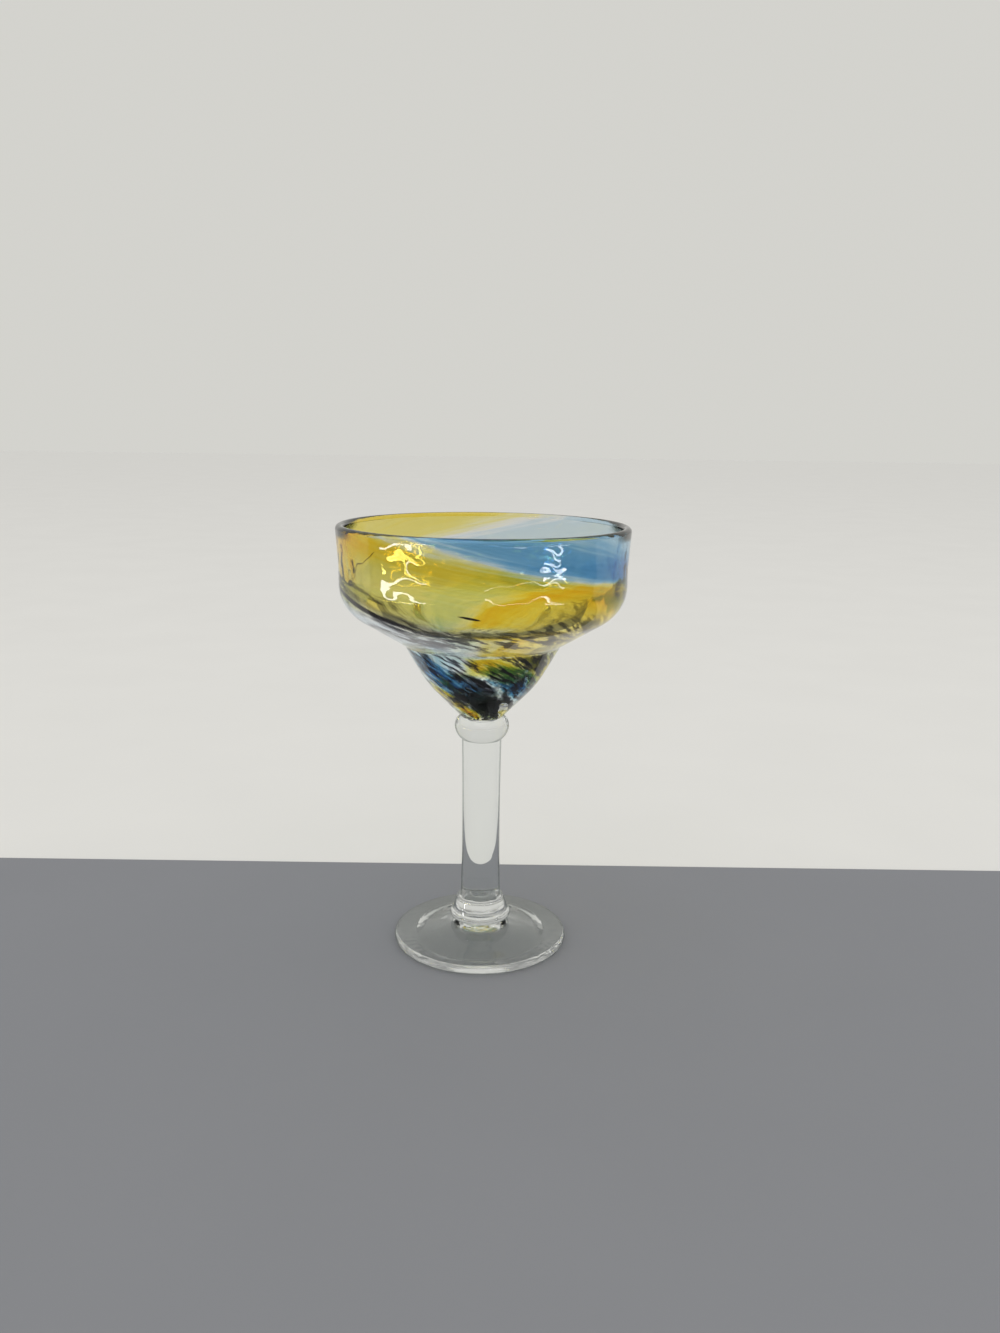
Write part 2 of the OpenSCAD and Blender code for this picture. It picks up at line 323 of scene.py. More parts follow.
def rounded(points, radii):
    """The points with each inner corner made an arc that fits between its two runs."""
    last = len(points) - 1
    halves = [half_angle(points[i - 1], points[i], points[i + 1]) for i in range(1, last)]
    runs = [0] + [radius / math.tan(half) for radius, half in zip(radii, halves)] + [0]
    lengths = [(Vector(points[i + 1]) - Vector(points[i])).length for i in range(last)]
    fits = [min(1, lengths[i] / max(LEAST_RUN, runs[i] + runs[i + 1])) for i in range(last)]
    line = [points[0]]
    for i in range(1, last):
        radius = radii[i - 1] * min(fits[i - 1], fits[i])
        half = halves[i - 1]
        back = way(points[i], points[i - 1])
        on = way(points[i], points[i + 1])
        centre = Vector(points[i]) + (back + on).normalized() * radius / math.sin(half)
        first = Vector(points[i]) + back * radius / math.tan(half) - centre
        side = on - back
        turn = 180 - 2 * math.degrees(half)
        start = math.degrees(math.atan2(first.y, first.x))
        line += arc(centre, radius, start, start + math.copysign(turn, first.x * side.y - first.y * side.x))
    return line + [points[last]]


def upright_arc(start, end):
    """Points of an arc that starts at one point and stands upright where it ends."""
    span = Vector(end) - Vector(start)
    radius = span.length_squared / 2 / span.x
    turn = math.degrees(math.asin((start[1] - end[1]) / radius))
    return arc((end[0] - radius, end[1]), radius, turn, 0)


def cap(edge, deep):
    """Points of a shallow cap of a ball, from its edge down to the axis."""
    radius = (edge[0] ** 2 + deep ** 2) / 2 / deep
    turn = math.degrees(math.asin(edge[0] / radius))
    return arc((0, edge[1] - deep + radius), radius, turn - 90, -90)


def crossing(p, u, q, v):
    """Point where the line through p along u meets the line through q along v."""
    det = u.x * v.y - u.y * v.x
    if abs(det) < LEVEL_LINES:
        return tuple(q)
    return tuple(p + u * ((q - p).x * v.y - (q - p).y * v.x) / det)


def skin(depths, radii, floor_z):
    """Outline of a skin that lies at these depths inside the bowl's wall, from the lip down to the axis."""
    runs = range(len(depths))
    ways = [way(BOWL_CORNERS[i], BOWL_CORNERS[i + 1]) for i in runs]
    starts = [Vector(BOWL_CORNERS[i]) + Vector((ways[i].y, -ways[i].x)) * depths[i] for i in runs]
    level = Vector((1, 0))
    corners = [crossing(starts[0], ways[0], Vector((0, LIP_Z)), level)]
    corners += [crossing(starts[i], ways[i], starts[i + 1], ways[i + 1]) for i in runs[:-1]]
    corners += [crossing(starts[-1], ways[-1], Vector((0, floor_z)), level), (0, floor_z)]
    return rounded(corners, radii)


def with_rings(line, step):
    """The same line with points added wherever two lie further apart than a step."""
    points = [line[0]]
    for end in line[1:]:
        start = Vector(points[-1])
        span = Vector(end) - start
        if span.length < SAME_SPOT:
            continue
        parts = math.ceil(span.length / step)
        points += [tuple(start + span * i / parts) for i in range(1, parts + 1)]
    return points


def drawn_in(line, inward):
    """The line of a skin moved a little off its neighbour, on one side or the other."""
    moved = []
    for before, point, after in zip([line[0]] + line, line, line[1:] + [line[-1]]):
        along = way(before, after)
        side = Vector((along.y, -along.x)) * inward * COLOUR_GAP
        moved.append((max(0, point[0] + side.x), point[1] + side.y))
    moved[0] = (moved[0][0], LIP_Z - COLOUR_GAP)
    return moved


outside = rounded(BOWL_CORNERS, BOWL_ROUNDS)
casing_skin = skin(CASING_DEPTHS, CASING_ROUNDS, CASING_FLOOR_Z)
colour_skin = skin(COLOUR_DEPTHS, COLOUR_ROUNDS, COLOUR_FLOOR_Z)
cavity_skin = skin(CAVITY_DEPTHS, CAVITY_ROUNDS, CAVITY_FLOOR_Z)
lip = arc((RIM_R - LIP_R, LIP_Z), LIP_R, 180, 0)
cone_seat = cap((CONE_END_R, CONE_END_Z), SEAT_DIP)


# Turned and wound meshes

def draw_line(points):
    """One vertex of a plane, extruded from point to point of an outline, in the mesh that is open."""
    first = points[0]
    bpy.ops.mesh.primitive_plane_add(size=MM, location=(first[0] * MM, 0, first[1] * MM))
    bpy.ops.mesh.merge(type="CENTER")
    for start, end in zip(points, points[1:]):
        move = ((end[0] - start[0]) * MM, 0, (end[1] - start[1]) * MM)
        bpy.ops.mesh.extrude_region_move(TRANSFORM_OT_translate={"value": move})


def start_piece(name):
    """A new piece at the origin, open for editing, with nothing in it yet."""
    bpy.ops.object.select_all(action="DESELECT")
    bpy.ops.mesh.primitive_plane_add(size=MM)
    piece = bpy.context.object
    piece.name = name
    piece.data.name = name
    bpy.ops.object.mode_set(mode="EDIT")
    bpy.ops.mesh.select_all(action="SELECT")
    bpy.ops.mesh.delete(type="VERT")
    return piece


def finish_mesh(piece):
    """Closes seams and poles, turns the faces outwards and smooths all but the sharp edges."""
    bpy.ops.object.mode_set(mode="EDIT")
    bpy.ops.mesh.select_all(action="SELECT")
    bpy.ops.mesh.remove_doubles(threshold=SAME_SPOT * MM)
    bpy.ops.mesh.delete_loose(use_faces=False)
    bpy.ops.mesh.select_all(action="SELECT")
    bpy.ops.mesh.normals_make_consistent(inside=False)
    bpy.ops.object.mode_set(mode="OBJECT")
    bpy.ops.object.shade_smooth_by_angle(angle=math.radians(SHARP_EDGE))
    return piece


def turn_round(name, outline, step=RING_STEP):
    """A piece turned from its outline, as on a lathe."""
    piece = start_piece(name)
    draw_line(with_rings(outline, step))
    bpy.ops.object.mode_set(mode="OBJECT")
    lathe = piece.modifiers.new("lathe", "SCREW")
    lathe.axis = "Z"
    lathe.angle = math.tau
    lathe.steps = SIDES
    lathe.render_steps = SIDES
    bpy.ops.object.modifier_apply(modifier=lathe.name)
    return finish_mesh(piece)


def finish_ends(piece, sweep):
    """Gives the joint finish to both ends of a shell before it is wound, where the other colour goes on."""
    ends = (0, math.radians(sweep))
    for face in piece.data.polygons:
        angle = math.atan2(face.center.y, face.center.x)
        if min(abs(math.remainder(angle - end, math.tau)) for end in ends) < END_REACH:
            face.material_index = 1


def wind_round(name, finish, outer, inner, start, sweep):
    """A part of a turned shell, wound round the axis like drawn glass on its way down."""
    piece = start_piece(name)
    piece.data.materials.append(finish)
    piece.data.materials.append(fused_joint)
    draw_line(with_rings(outer, FINE_RING_STEP))
    draw_line(with_rings(inner, FINE_RING_STEP))
    bpy.ops.mesh.select_all(action="SELECT")
    bpy.ops.mesh.bridge_edge_loops()
    bpy.ops.mesh.select_all(action="SELECT")
    steps = math.ceil(SIDES * sweep / 360)
    # With no window, spin turns the other way
    bpy.ops.mesh.spin(steps=steps, angle=-math.radians(sweep), center=(0, 0, 0), axis=(0, 0, 1))
    bpy.ops.object.mode_set(mode="OBJECT")
    finish_ends(piece, sweep)
    heights = [vertex.co.z for vertex in piece.data.vertices]
    turn = math.radians(SWIRL_TURN) / ((RIM_Z - CONE_END_Z) * MM)
    winding = piece.modifiers.new("winding", "SIMPLE_DEFORM")
    winding.deform_method = "TWIST"
    winding.deform_axis = "Z"
    winding.angle = -turn * (max(heights) - min(heights))
    bpy.ops.object.modifier_apply(modifier=winding.name)
    piece.rotation_euler.z = math.radians(start) + turn * RIM_Z * MM
    bpy.ops.object.transform_apply(location=True, rotation=True, scale=True)
    return finish_mesh(piece)


def on_line(line, spot):
    """True if a (radius, height) spot lies on a line of such points."""
    for start, end in zip(line, line[1:]):
        from_start = spot - Vector(start)
        span = Vector(end) - Vector(start)
        share = from_start.dot(span) / max(span.length_squared, SAME_SPOT ** 2)
        if (from_start - span * max(0, min(1, share))).length < JOINT_REACH:
            return True
    return False


def fuse(piece, *lines):
    """Gives the joint finish to the faces that lie on these lines, where the piece is fused to the next."""
    piece.data.materials.append(fused_joint)
    known = {}
    for face in piece.data.polygons:
        ring = (round(math.hypot(face.center.x, face.center.y) / MM, 2), round(face.center.z / MM, 2))
        if ring not in known:
            known[ring] = any(on_line(line, Vector(ring)) for line in lines)
        if known[ring]:
            face.material_index = 1


def settle(piece, node):
    """Puts a finished piece in the place of its plain solid."""
    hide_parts(node)
    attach(piece, "root")


# The pieces of the glass

def make_foot():
    """The clear domed foot, with its rounded edge, its hollow underneath and the ground mark in that."""
    edge_r = FOOT_EDGE_H / 2
    seat_r = COLLAR_R - COLLAR_EDGE_H / 2
    edge = arc((FOOT_R - edge_r, edge_r), edge_r, -90, FOOT_EDGE_END)
    top = rounded([edge[-1], FOOT_BRIM, (seat_r, FOOT_MID_H)], [FOOT_ROUND])
    hollow_end = (GROUND_MARK_R, HOLLOW_FLAT[1])
    hollow = rounded([(FOOT_RING_R, 0), HOLLOW_STEP, HOLLOW_FLAT, hollow_end], HOLLOW_ROUNDS)
    mark = [(r, HOLLOW_FLAT[1] - z) for r, z in cap((GROUND_MARK_R, 0), GROUND_MARK_H)]
    seat = [(seat_r, FOOT_MID_H), (0, FOOT_MID_H)]
    outline = mark[::-1] + hollow[-2::-1] + edge + top + seat[1:]
    foot = turn_round("foot_glass", outline)
    foot.data.materials.append(clear_glass("clear_foot_glass", FOOT_WAVES))
    fuse(foot, seat)
    settle(foot, "foot")


def make_collar():
    """The clear stepped wafer between the foot and the stem."""
    edge_r = COLLAR_EDGE_H / 2
    low = [(0, FOOT_MID_H), (COLLAR_R - edge_r, FOOT_MID_H)]
    edge = arc((COLLAR_R - edge_r, FOOT_MID_H + edge_r), edge_r, -90, COLLAR_EDGE_END)
    shoulder_at = (COLLAR_TOP_R - COLLAR_TOP_ROUND, STEM_Z - COLLAR_TOP_ROUND)
    shoulder = arc(shoulder_at, COLLAR_TOP_ROUND, COLLAR_SHOULDER_START, 90)
    top = [(STEM_LOW_R, STEM_Z), (0, STEM_Z)]
    collar = turn_round("collar_glass", low + edge + shoulder + top, FINE_RING_STEP)
    collar.data.materials.append(clear_glass("clear_collar_glass", COLLAR_WAVES))
    fuse(collar, low, top)
    settle(collar, "foot_collar")


def make_stem():
    """The clear stem, a little slimmer in the middle."""
    slimmest = (STEM_MID_R, (STEM_Z + KNOP_Z) / 2)
    low = [(0, STEM_Z), (STEM_LOW_R, STEM_Z)]
    top = [(STEM_TOP_R, KNOP_Z), (0, KNOP_Z)]
    side = upright_arc(low[1], slimmest) + upright_arc(top[0], slimmest)[::-1]
    stem = turn_round("stem_glass", low + side + top)
    stem.data.materials.append(clear_glass("clear_stem_glass", STEM_WAVES))
    fuse(stem, low, top)
    settle(stem, "stem")


def make_knop():
    """The clear flattened ball between the stem and the bowl."""
    low = [(0, KNOP_Z), (STEM_TOP_R, KNOP_Z)]
    side = upright_arc(low[1], KNOP_BELLY) + upright_arc((CONE_END_R, CONE_END_Z), KNOP_BELLY)[::-1]
    knop = turn_round("knop_glass", low + side + cone_seat, FINE_RING_STEP)
    knop.data.materials.append(clear_glass("clear_knop_glass", KNOP_WAVES))
    fuse(knop, low, cone_seat)
    settle(knop, "knop")


def make_casing():
    """The clear outer gather of the bowl, with the lip."""
    under_lip = [casing_skin[0], lip[0]]
    outline = lip + outside + cone_seat + casing_skin[::-1] + [lip[0]]
    casing = turn_round("casing_glass", outline)
    casing.data.materials.append(casing_glass())
    fuse(casing, casing_skin, cone_seat, under_lip)
    settle(casing, "bowl_casing")


def make_lining():
    """The clear inner gather of the bowl, which holds the drink."""
    outline = colour_skin + cavity_skin[::-1] + [colour_skin[0]]
    lining = turn_round("lining_glass", outline)
    # The lining's finish carries the lip's painted dark line where it is seen edge-on, and is clear
    # elsewhere.
    finish = clear_glass("clear_lining_glass", LINING_WAVES, LINING_CALM_Z, LIP_PAINTED_SHADE_Z, LIP_PAINTED_SHADE)
    lining.data.materials.append(finish)
    fuse(lining, colour_skin, [colour_skin[0], cavity_skin[0]])
    settle(lining, "bowl_lining")


def make_swirls():
    """The amber and the blue shell between the two clear gathers."""
    outer = drawn_in(casing_skin, 1)
    inner = drawn_in(colour_skin, -1)
    amber_finish = coloured_layer("amber_glass")
    amber = wind_round("amber_layer", amber_finish, outer, inner, AMBER_START, AMBER_SWEEP)
    settle(amber, "amber_swirl")
    blue_start = AMBER_START + AMBER_SWEEP
    blue_finish = coloured_layer("blue_glass")
    blue = wind_round("blue_layer", blue_finish, outer, inner, blue_start, 360 - AMBER_SWEEP)
    settle(blue, "blue_swirl")


# Nodes

def feed(tree, socket, value):
    """Sets a socket to a value, or joins it to another node's output."""
    if isinstance(value, bpy.types.NodeSocket):
        tree.links.new(value, socket)
    else:
        socket.default_value = value


def put(tree, kind, **inputs):
    """A new node of a kind, its named inputs set to values or joined to sockets."""
    made = tree.nodes.new(kind)
    for name, value in inputs.items():
        feed(tree, made.inputs[name.replace("_", " ")], value)
    return made


def sum_up(tree, operation, *values):
    """Output of a Math node."""
    made = tree.nodes.new("ShaderNodeMath")
    made.operation = operation
    for socket, value in zip(made.inputs, values):
        feed(tree, socket, value)
    return made.outputs[0]


def product(tree, first, *others):
    """Output of the last of a row of Math nodes that multiply the values."""
    for other in others:
        first = sum_up(tree, "MULTIPLY", first, other)
    return first


def spread(tree, value, low, high, to_low=0.0, to_high=1.0):
    """Output of a smooth Map Range node."""
    made = tree.nodes.new("ShaderNodeMapRange")
    made.interpolation_type = "SMOOTHSTEP"
    for socket, given in zip(made.inputs, (value, low, high, to_low, to_high)):
        feed(tree, socket, given)
    return made.outputs[0]


def across(tree, value, band, to_low=0.0, to_high=1.0):
    """Output of a smooth Map Range node over a band in millimetres."""
    return spread(tree, value, band[0] * MM, band[1] * MM, to_low, to_high)


def between(tree, share, first, second):
    """Output of a Mix node that goes from the first value to the second."""
    made = tree.nodes.new("ShaderNodeMix")
    feed(tree, made.inputs[0], share)
    feed(tree, made.inputs[2], first)
    feed(tree, made.inputs[3], second)
    return made.outputs[0]


def join(tree, operation, *vectors):
    """Vector output of a Vector Math node."""
    made = tree.nodes.new("ShaderNodeVectorMath")
    made.operation = operation
    for socket, value in zip(made.inputs, vectors):
        feed(tree, socket, value)
    return made.outputs["Vector"]


def drawn_curve(tree, value, points):
    """Output of a Float Curve node through these points, from 0 to 1 both ways."""
    curve = tree.nodes.new("ShaderNodeFloatCurve")
    line = curve.mapping.curves[0]
    for point, spot in zip(line.points, (points[0], points[-1])):
        point.location = spot
    for spot in points[1:-1]:
        line.points.new(*spot)
    curve.mapping.update()
    feed(tree, curve.inputs["Value"], value)
    return curve.outputs[0]


def object_spot(tree):
    """Object coordinates, as one vector and as its three parts."""
    spot = put(tree, "ShaderNodeTexCoord").outputs["Object"]
    return spot, put(tree, "ShaderNodeSeparateXYZ", Vector=spot).outputs


def new_group(name, output, kind, inputs):
    """A shader node group with one named output and named inputs, and the sockets for both inside it."""
    group = bpy.data.node_groups.new(name, "ShaderNodeTree")
    for label, value in inputs.items():
        input_kind = "NodeSocketFloat" if isinstance(value, float) else "NodeSocketColor"
        socket = group.interface.new_socket(name=label, in_out="INPUT", socket_type=input_kind)
        socket.default_value = value
    group.interface.new_socket(name=output, in_out="OUTPUT", socket_type=kind)
    given = group.nodes.new("NodeGroupInput").outputs
    return group, given, group.nodes.new("NodeGroupOutput").inputs[output]


def use_group(tree, group, **inputs):
    """The only output of a group placed in a material, with its own values."""
    made = tree.nodes.new("ShaderNodeGroup")
    made.node_tree = group
    for name, value in inputs.items():
        feed(tree, made.inputs[name.replace("_", " ")], value)
    return made.outputs[0]


# Effects, as node groups

def blown_surface_group():
    """Slow waves of hand-blown glass, as a height."""
    inputs = {"Wave size": 10.0, "Seed": 0.0, "Calm below": 0.0}
    group, given, out = new_group("blown_surface", "Height", "NodeSocketFloat", inputs)
    spot, parts = object_spot(group)
    offset = put(group, "ShaderNodeCombineXYZ", X=given["Seed"], Y=given["Seed"])
    moved = join(group, "ADD", spot, offset.outputs[0])
    scale = sum_up(group, "DIVIDE", 1 / MM, given["Wave size"])
    waves = put(group, "ShaderNodeTexNoise", Vector=moved, Scale=scale, Detail=1.0, Roughness=0.4)
    above = sum_up(group, "SUBTRACT", parts["Z"], given["Calm below"])
    strength = across(group, above, CALM_BAND, CALM_SHARE, 1.0)
    feed(group, out, product(group, waves.outputs["Fac"], strength))
    return group


def painted_edge_shade_group():
    """A colour with painted shade: darker where glass above a height is seen edge-on, for the dark lines
    along its edges.
    """
    inputs = {"Colour": CLEAR, "Facing": 0.0, "Above": 0.0, "Strength": 1.0}
    group, given, out = new_group("painted_edge_shade", "Colour", "NodeSocketColor", inputs)
    parts = object_spot(group)[1]
    above = sum_up(group, "SUBTRACT", parts["Z"], given["Above"])
    there = across(group, above, PAINTED_SHADE_BAND, 0.0, given["Strength"])
    painted_shade_share = product(group, there, spread(group, given["Facing"], *PAINTED_SHADE_FACING))
    darker = put(group, "ShaderNodeGamma", Color=PAINTED_EDGE_SHADE, Gamma=painted_shade_share)
    feed(group, out, join(group, "MULTIPLY", given["Colour"], darker.outputs[0]))
    return group


def film_depth_group():
    """The colour of a thin layer, deeper where the light goes aslant through it."""
    inputs = {"Colour": CLEAR, "Facing": 0.0}
    group, given, out = new_group("film_depth", "Colour", "NodeSocketColor", inputs)
    square_on = sum_up(group, "SUBTRACT", 1.0, given["Facing"])
    longer = sum_up(group, "DIVIDE", 1.0, sum_up(group, "MAXIMUM", square_on, LEAST_SQUARE_ON))
    deeper = put(group, "ShaderNodeGamma", Color=given["Colour"], Gamma=longer)
    feed(group, out, deeper.outputs[0])
    return group


def mottle_group():
    """A colour with a faint mottle in its brightness."""
    group, given, out = new_group("mottle", "Colour", "NodeSocketColor", {"Colour": CLEAR})
    spot = object_spot(group)[0]
    noise = put(group, "ShaderNodeTexNoise", Vector=spot, Scale=12.0, Detail=2.0)
    shade = spread(group, noise.outputs["Fac"], *MOTTLE)
    grey = put(group, "ShaderNodeCombineColor", Red=shade, Green=shade, Blue=shade)
    feed(group, out, join(group, "MULTIPLY", given["Colour"], grey.outputs[0]))
    return group


def daub_group():
    """A soft ragged patch of glass round a middle, drawn out along the winding."""
    inputs = {
        "Angle": 0.0, "Height": 0.0, "Rag": 0.5,
        "Middle angle": 0.0, "Middle height": 0.0, "Wide": 0.3, "Tall": 0.01,
    }
    group, given, out = new_group("daub", "Mask", "NodeSocketFloat", inputs)
    turn = sum_up(group, "SUBTRACT", given["Angle"], given["Middle angle"])
    turn = sum_up(group, "WRAP", turn, math.pi, -math.pi)
    aside = sum_up(group, "DIVIDE", turn, given["Wide"])
    climb = sum_up(group, "SUBTRACT", given["Height"], given["Middle height"])
    climb = sum_up(group, "DIVIDE", climb, given["Tall"])
    far = sum_up(group, "MULTIPLY_ADD", climb, climb, product(group, aside, aside))
    rag = sum_up(group, "SUBTRACT", given["Rag"], 0.5)
    ragged = sum_up(group, "MULTIPLY_ADD", rag, DAUB_RAG, far)
    feed(group, out, spread(group, ragged, *DAUB_EDGE))
    return group


# The wound colours of the bowl

def twist_angle(group, height):
    """Angle that the colours have turned by at a height, from the rim down."""
    down = group.nodes.new("ShaderNodeMapRange")
    for socket, value in zip(down.inputs, (height, RIM_Z * MM, CONE_END_Z * MM, 0.0, 1.0)):
        feed(group, socket, value)
    turned = drawn_curve(group, down.outputs[0], TWIST_CURVE)
    return product(group, turned, math.radians(FULL_TURN))


def twist_at(height):
    """The same turn as twist_angle, as a number of degrees, at a height in millimetres."""
    down = (RIM_Z - height) / (RIM_Z - CONE_END_Z)
    for (start, low), (end, high) in zip(TWIST_CURVE, TWIST_CURVE[1:]):
        if start <= down <= end:
            return FULL_TURN * (low + (high - low) * (down - start) / (end - start))
    return FULL_TURN


def stray(group, vector, scale, detail, roughness, degrees):
    """An angle that strays to both sides of none, over so many degrees in all."""
    noise = put(group, "ShaderNodeTexNoise", Vector=vector, Scale=scale, Detail=detail, Roughness=roughness)
    whole = math.radians(degrees)
    return sum_up(group, "MULTIPLY_ADD", noise.outputs["Fac"], whole, -whole / 2)


def drawn_noise(group, unwound, thick, times_long, shift):
    """Noise drawn out along the winding: how thick its streaks are, and how many times as long."""
    stretch = (1.0, 1.0, 1.0 / times_long)
    drawn = join(group, "MULTIPLY_ADD", unwound, stretch, (shift, shift, shift))
    noise = put(group, "ShaderNodeTexNoise", Vector=drawn, Scale=1 / MM / thick, Detail=2.5, Roughness=0.6)
    return noise.outputs["Fac"]


def bowl_place(group):
    """Where a spot is on the bowl, its direction with the winding taken out, and the streaks there."""
    spot, parts = object_spot(group)
    rotate = group.nodes.new("ShaderNodeVectorRotate")
    rotate.rotation_type = "Z_AXIS"
    feed(group, rotate.inputs["Vector"], spot)
    feed(group, rotate.inputs["Angle"], product(group, twist_angle(group, parts["Z"]), -1.0))
    unwound = rotate.outputs[0]
    flat = put(group, "ShaderNodeSeparateXYZ", Vector=unwound).outputs
    straight = sum_up(group, "ARCTAN2", flat["Y"], flat["X"])
    swayed = stray(group, spot, 38.0, 2.0, 0.5, SWAY)
    frayed = stray(group, unwound, 130.0, 3.0, 0.6, FRAY)
    return {
        "right": parts["X"],
        "away": parts["Y"],
        "height": parts["Z"],
        "straight": straight,
        "turned": sum_up(group, "ADD", straight, sum_up(group, "ADD", swayed, frayed)),
        "streaks": drawn_noise(group, unwound, *STREAKS),
        "threads": drawn_noise(group, unwound, *THREADS),
        "dark": drawn_noise(group, unwound, *DARK_STREAKS),
    }


def bowl_zones(group, at):
    """How far a spot is in the bend under the wall, and in the cone, which starts lower on the far side."""
    in_bend = across(group, at["height"], BEND_Z)
    cone_top = across(group, at["away"], CONE_TOP_Y, NEAR_CONE_TOP_Z * MM, FAR_CONE_TOP_Z * MM)
    over_top = sum_up(group, "SUBTRACT", at["height"], cone_top)
    return in_bend, across(group, over_top, UNDER_CONE_TOP)


def hues_here(group, turned, in_cone):
    """Where amber is and where blue is: next to each other on the wall, and both all over the cone."""
    half = math.radians(AMBER_SWEEP / 2)
    off = sum_up(group, "SUBTRACT", turned, math.radians(AMBER_START + AMBER_SWEEP / 2))
    off = sum_up(group, "ABSOLUTE", sum_up(group, "WRAP", off, math.pi, -math.pi))
    amber = spread(group, off, half + AMBER_BORDER[0], half + AMBER_BORDER[1])
    blue = spread(group, off, half + BLUE_BORDER[0], half + BLUE_BORDER[1])
    return sum_up(group, "MAXIMUM", amber, in_cone), sum_up(group, "MAXIMUM", blue, in_cone)


def wall_loads(group, at, far_low):
    """Loads of both colours on the wall, and of amber and of blue in the bend under it."""
    turn_share = sum_up(group, "DIVIDE", sum_up(group, "WRAP", at["turned"], math.tau, 0.0), math.tau)
    all_round = product(group, drawn_curve(group, turn_share, ROUND_LOADS), FULL_LOAD)
    streaked = sum_up(group, "MULTIPLY_ADD", at["streaks"], *WALL_STREAKS)
    wall = product(group, all_round, streaked, spread(group, far_low, 0.0, 1.0, 1.0, FAR_WALL_SHARE))
    bend = product(group, all_round, spread(group, at["streaks"], *BEND_STREAKS))
    far_right = product(group, across(group, at["right"], GOLDEN_X), across(group, at["away"], GOLDEN_Y))
    golden = product(group, bend, spread(group, far_right, 0.0, 1.0, 1.0, GOLDEN_SHARE))
    pale = product(group, bend, across(group, at["away"], FAR_BEND_Y, 1.0, FAR_WALL_SHARE))
    return wall, golden, pale


def add_daubs(group, at):
    """Loads of amber, blue and smoke in the near side of the cone, and where a clear pocket is."""
    sums = [CONE_AMBER, CONE_BLUE, 0.0, 0.0]
    for azimuth, middle, wide, tall, *loads in DAUBS:
        mask = use_group(
            group, daub, Angle=at["straight"], Height=at["height"], Rag=at["streaks"],
            Middle_angle=math.radians(azimuth - twist_at(middle)), Middle_height=middle * MM,
            Wide=math.radians(wide), Tall=tall * MM,
        )
        for i, load in enumerate(loads):
            if load:
                sums[i] = sum_up(group, "MULTIPLY_ADD", mask, load, sums[i])
    return sums


def cone_loads(group, at):
    """Loads of amber, blue and smoke in the cone, in streaks with clear gaps, and of the daubs' smoke."""
    amber, blue, smoke, pocket = add_daubs(group, at)
    far_share = across(group, at["height"], CALM_CONE_Z, *FAR_CONE_SHARES)
    lively = across(group, at["away"], FAR_CONE_Y, far_share, 1.0)
    outside_pocket = spread(group, pocket, *POCKET_EDGE)
    gaps = product(group, spread(group, at["threads"], *CONE_GAPS), lively, outside_pocket)
    drawn = product(group, gaps, spread(group, at["streaks"], *CONE_STREAKS))
    dark = product(group, gaps, spread(group, at["dark"], *CONE_DARK_STREAKS))
    smoke = product(group, smoke, outside_pocket)
    all_smoke = sum_up(group, "MULTIPLY_ADD", smoke, spread(group, at["dark"], *DAUB_DARK_STREAKS), dark)
    return product(group, amber, drawn), product(group, blue, drawn), all_smoke, smoke


def smoke_load(group, at, far_low, in_cone, cone_smoke, daub_smoke):
    """Load of smoke: faint on the wall, streaked on the bend's near side, and in the cone and the daubs."""
    bend = product(
        group, spread(group, at["streaks"], *BEND_SMOKE_STREAKS), across(group, at["away"], BEND_SMOKE_Y),
        across(group, at["height"], BEND_SMOKE_Z, LEAST_BEND_SMOKE, 1.0),
    )
    low = between(group, in_cone, bend, cone_smoke)
    wall = spread(group, far_low, 0.0, 1.0, WALL_SMOKE, FAR_WALL_SMOKE)
    smoke = between(group, across(group, at["height"], SMOKE_Z), wall, low)
    high_daubs = product(group, daub_smoke, across(group, at["height"], DAUB_SMOKE_Z))
    return sum_up(group, "MAXIMUM", smoke, high_daubs)


def wound_colours_group():
    """The wound colours of the bowl: what a share of the colour layer lets through at each place."""
    inputs = {"Amber": AMBER, "Blue": BLUE, "Smoke": SMOKE, "Share": 0.5, "Low share": 0.5}
    group, given, out = new_group("wound_colours", "Colour", "NodeSocketColor", inputs)
    at = bowl_place(group)
    in_bend, in_cone = bowl_zones(group, at)
    far_low = product(group, across(group, at["away"], FAR_WALL_Y), across(group, at["height"], FAR_WALL_Z))
    wall, golden, pale = wall_loads(group, at, far_low)
    cone_amber, cone_blue, cone_smoke, daub_smoke = cone_loads(group, at)
    amber = between(group, in_cone, between(group, in_bend, wall, golden), cone_amber)
    blue = between(group, in_cone, between(group, in_bend, wall, pale), cone_blue)
    amber_here, blue_here = hues_here(group, at["turned"], in_cone)
    loads = {
        "Amber": product(group, amber, amber_here),
        "Blue": product(group, blue, blue_here),
        "Smoke": smoke_load(group, at, far_low, in_cone, cone_smoke, daub_smoke),
    }
    share = between(group, in_bend, given["Share"], given["Low share"])
    layers = []
    for name, load in loads.items():
        layer = put(group, "ShaderNodeGamma", Color=given[name], Gamma=product(group, share, load))
        layers.append(layer.outputs[0])
    both = join(group, "MULTIPLY", layers[0], layers[1])
    feed(group, out, join(group, "MULTIPLY", both, layers[2]))
    return group


# Finishes

def material(name):
    """An empty node material, with its tree and its output."""
    made = bpy.data.materials.new(name)
    made.use_nodes = True
    made.node_tree.nodes.clear()
    return made, made.node_tree, made.node_tree.nodes.new("ShaderNodeOutputMaterial")


def mix_shaders(tree, out, share, first, second):
    """Joins two shaders to an output, from the first to the second by a share."""
    mix = tree.nodes.new("ShaderNodeMixShader")
    tree.links.new(share, mix.inputs["Fac"])
    tree.links.new(first.outputs[0], mix.inputs[1])
    tree.links.new(second.outputs[0], mix.inputs[2])
    tree.links.new(mix.outputs[0], out.inputs["Surface"])


